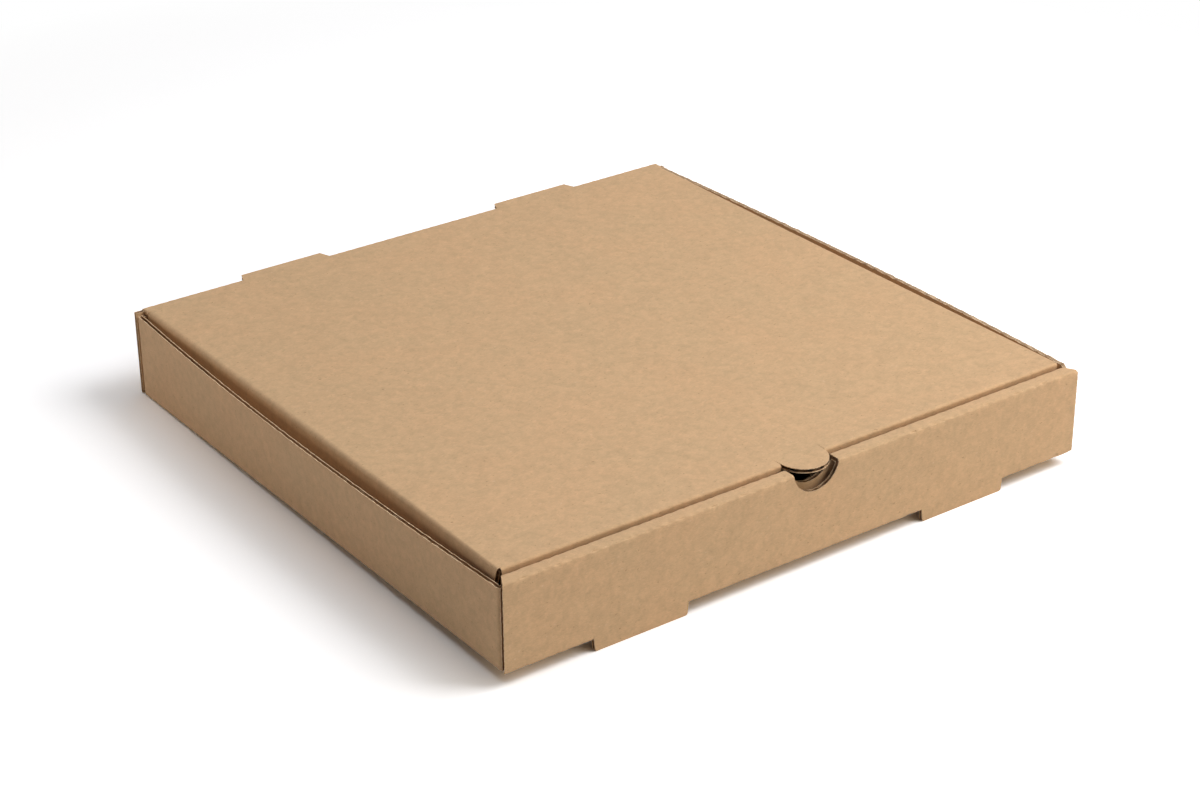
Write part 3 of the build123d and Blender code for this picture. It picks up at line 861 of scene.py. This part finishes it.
# Cut rim of a paper: paler torn fibres with darker pits, and pale patches.
def cutRim(name):
    paper, dark = kraft[name]
    s = Shader(name)
    where = s.node("ShaderNodeTexCoord", {}, (), "Object")
    grain = s.noise(where, *kraft["cutGrain"])
    patches = s.noise(where, *kraft["cutPatches"])
    colour = s.mix(s.between(grain, *kraft["cutRange"]), linear(*paper), linear(*dark))
    paleness = s.between(patches, *kraft["cutPaleRange"]) * kraft["cutPaleShare"]
    colour = s.mix(paleness, colour, linear(*kraft["pale"]))
    bump = s.node("ShaderNodeBump", {}, {"Strength": 0.6, "Distance": 0.0002, "Height": grain})
    surface = s.node("ShaderNodeBsdfPrincipled", {}, {
        "Base Color": colour, "Roughness": 0.92, "Specular IOR Level": 0.15, "Normal": bump,
    })
    return s.finish(surface)


linerFace = kraftPaper("kraftLiner", kraft["paper"])
fluteFace = kraftPaper("kraftFluting", kraft["fluting"], 0.8)
linerRim = cutRim("linerCut")
# The fluting's rim carries painted shade of the flute channels; the crushed rim carries painted light.
fluteRimAndShade = cutRim("flutingCutAndShade")
crushedRimAndLight = cutRim("crushedCutAndLight")
liner = [linerFace, linerRim]
fluted = [fluteFace, fluteRimAndShade]
print("materials made")

tray = makeTrayRun()
trayOuterLiner = addPiece("trayOuterLiner", [tray["outer"]], "tray", liner)
addPiece("trayInnerLiner", [tray["inner"]], "tray", liner)
addPiece("trayFluting", [tray["fluting"]], "tray", fluted)
# The left wall's top shows the fluting's rim with its painted shade, the right wall's the crushed rim with
# its painted light.
for name, side, wallRim in (("left", -1, fluteRimAndShade), ("right", 1, crushedRimAndLight)):
    wall = makeSideWall(side)
    addPiece(name + "WallLiners", [wall["outer"], wall["inner"]], "tray", liner)
    addPiece(name + "WallFluting", [wall["fluting"]], "tray", [fluteFace, wallRim])
print("tray made")

lid = makeLidRun()
lidOuterLiner = addPiece("lidOuterLiner", [lid["outer"]], "lid", liner)
addPiece("lidInnerLiner", [lid["inner"]], "lid", liner)
addPiece("lidFluting", [lid["fluting"]], "lid", fluted)
for name, side in (("left", -1), ("right", 1)):
    flap = makeLidFlap(side)
    addPiece(name + "FlapLiners", flap["outer"] + flap["inner"], "lid", liner)
    addPiece(name + "FlapFluting", flap["fluting"], "lid", fluted)
hinge = addPiece("hingeCrease", makeHingeCrease(), None, liner)
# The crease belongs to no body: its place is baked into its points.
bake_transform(hinge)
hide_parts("tray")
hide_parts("lid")
print("lid made")

# Studio: a pale floor that touches the feet and the rear edge of the base, a soft lamp high on the right,
# weaker ones in front and above, and a low one at the left rear.
studio = {
    "floorShade": 0.80,
    "floorSeen": 1.35,   # the floor's shade for the camera alone, so that it is white where it is lit
    "floorReach": 6.0,   # in metres
    "floorGap": 0.0001,
    "whiteFrom": 0.45,   # beyond this distance from the box's middle the floor goes over into plain white
    "whiteAt": 0.70,
    "worldStrength": 0.02,
    # Each lamp: where it stands, in metres, its width, its power and its colour.
    "lamps": {
        "main": ((0.80, -0.55, 1.15), 0.9, 14.8, (1.0, 1.0, 1.03)),
        "front": ((0.70, -1.30, 0.60), 1.2, 5.9, (1.12, 0.99, 0.78)),
        "above": ((0.0, 0.0, 1.60), 1.6, 12.4, (0.98, 1.0, 1.03)),
        "left": ((-0.90, 0.90, 0.18), 0.35, 3.2, (1.14, 0.98, 0.84)),
    },
}


# The floor slopes up to the rear by the height that the base has above the feet.
def makeFloor():
    lean = np.arctan2(sheet["baseBottom"], rear - front)
    reach = studio["floorReach"]
    corners = [(-reach, -reach), (reach, -reach), (reach, reach), (-reach, reach)]
    points = [(x, y, (y - front * mm) * np.tan(lean) - studio["floorGap"]) for x, y in corners]
    mesh = bpy.data.meshes.new("floor")
    mesh.from_pydata(points, [], [(0, 1, 2, 3)])
    floor = bpy.data.objects.new("floor", mesh)
    bpy.context.scene.collection.objects.link(floor)
    s = Shader("paleFloor")
    matt, bright = (
        s.node("ShaderNodeBsdfDiffuse", {}, {"Color": (shade, shade, shade, 1.0)})
        for shade in (studio["floorShade"], studio["floorSeen"])
    )
    where = s.node("ShaderNodeTexCoord", {}, (), "Object")
    away = s.node("ShaderNodeVectorMath", {"operation": "LENGTH"}, [where], "Value")
    far = s.between(away, studio["whiteFrom"], studio["whiteAt"])
    white = s.node("ShaderNodeEmission", {}, {"Color": (1.0, 1.0, 1.0, 1.0), "Strength": 1.0})
    bright = s.node("ShaderNodeMixShader", {}, [far, bright, white])
    seen = s.node("ShaderNodeLightPath", {}, (), "Is Camera Ray")
    mesh.materials.append(s.finish(s.node("ShaderNodeMixShader", {}, [seen, matt, bright])))


# A square soft lamp that faces the middle of the box.
def makeLamp(name, position, size, power, colour):
    lamp = bpy.data.lights.new(name, "AREA")
    lamp.size = size
    lamp.energy = power
    lamp.color = colour
    thing = bpy.data.objects.new(name, lamp)
    turn = Vector(position).to_track_quat("Z", "Y").to_matrix().to_4x4()
    thing.matrix_world = Matrix.Translation(position) @ turn
    bpy.context.scene.collection.objects.link(thing)


# Plain white for the camera, a weak white light for everything else.
def makeWorld():
    world = bpy.data.worlds.new("studio")
    bpy.context.scene.world = world
    world.use_nodes = True
    tree = world.node_tree
    tree.nodes.clear()
    soft = tree.nodes.new("ShaderNodeBackground")
    soft.inputs["Strength"].default_value = studio["worldStrength"]
    white = tree.nodes.new("ShaderNodeBackground")
    path = tree.nodes.new("ShaderNodeLightPath")
    mixed = tree.nodes.new("ShaderNodeMixShader")
    output = tree.nodes.new("ShaderNodeOutputWorld")
    for background in (soft, white):
        background.inputs["Color"].default_value = (1.0, 1.0, 1.0, 1.0)
    tree.links.new(path.outputs["Is Camera Ray"], mixed.inputs[0])
    tree.links.new(soft.outputs[0], mixed.inputs[1])
    tree.links.new(white.outputs[0], mixed.inputs[2])
    tree.links.new(mixed.outputs[0], output.inputs["Surface"])


# The photograph's view: turned by azimuth and elevation round the box's front left corner, rolled a
# little, then moved sideways, up and back. Angles in degrees, lengths in millimetres.
view = {
    "azimuth": -35.9, "elevation": 27.09, "roll": -0.41, "sideways": 39.6, "up": 113.6, "back": 1098.0,
    "lens": 79.14, "sensor": 36, "corner": (-165.0, -164.45, 6.0),
}


def makeCamera():
    azimuth, elevation, roll = np.radians([view["azimuth"], view["elevation"], view["roll"]])
    level = np.cos(elevation)
    back = np.array([np.sin(azimuth) * level, -np.cos(azimuth) * level, np.sin(elevation)])
    right = np.array([np.cos(azimuth), np.sin(azimuth), 0])
    up = np.cross(back, right)
    rolledRight = np.cos(roll) * right + np.sin(roll) * up
    rolledUp = np.cos(roll) * up - np.sin(roll) * right
    place = view["sideways"] * rolledRight + view["up"] * rolledUp + view["back"] * back
    place = place + np.array(view["corner"])
    data = bpy.data.cameras.new("camera")
    data.lens = view["lens"]
    data.sensor_width = view["sensor"]
    data.clip_start = 0.01
    data.clip_end = 50
    camera = bpy.data.objects.new("camera", data)
    turned = Matrix(np.stack([rolledRight, rolledUp, back], 1).tolist()).to_4x4()
    camera.matrix_world = Matrix.Translation((place * mm).tolist()) @ turned
    bpy.context.scene.collection.objects.link(camera)
    bpy.context.scene.camera = camera


makeFloor()
for lampName, lampValues in studio["lamps"].items():
    makeLamp(lampName, *lampValues)
makeWorld()
makeCamera()
bpy.context.scene.view_settings.view_transform = "Standard"
print("studio made")
